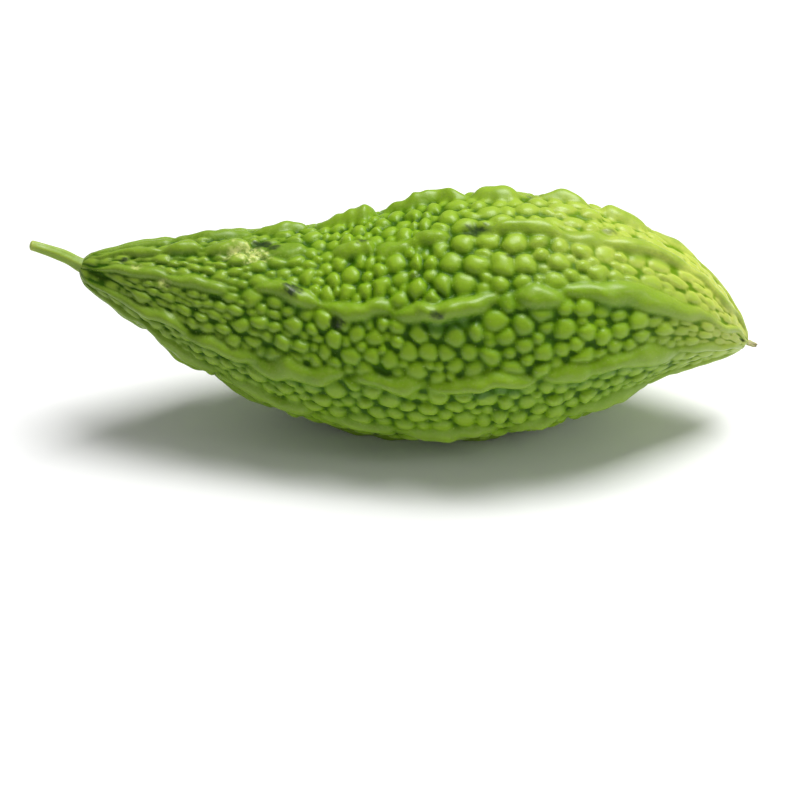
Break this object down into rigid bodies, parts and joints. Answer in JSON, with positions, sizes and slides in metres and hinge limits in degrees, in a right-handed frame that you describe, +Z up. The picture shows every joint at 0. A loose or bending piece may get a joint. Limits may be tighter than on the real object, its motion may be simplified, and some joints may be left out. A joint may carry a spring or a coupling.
{
  "type": "bitter gourd",
  "caption": "Whole bitter gourd lying on its side: a long ridged, warty green fruit that tapers to both ends, with its cut stem and a dried blossom scrap.",
  "frame": {"origin": "on the surface that the gourd rests on, under the middle of its bounding box", "axes": "+X along the gourd towards its blossom end, -X towards its stem, +Z up"},
  "size_m": [0.2174, 0.0772, 0.075],
  "materials": {
    "skin": "waxy fresh fruit skin, satin with soft highlights, darker green in the creases",
    "stalk": "green, satin, finely ribbed",
    "dried_petal": "dry, matte, crumpled"
  },
  "bodies": {
    "root": {"fruit": "skin", "stem": "stalk", "blossom_remnant": "dried_petal"}
  },
  "joints": []
}
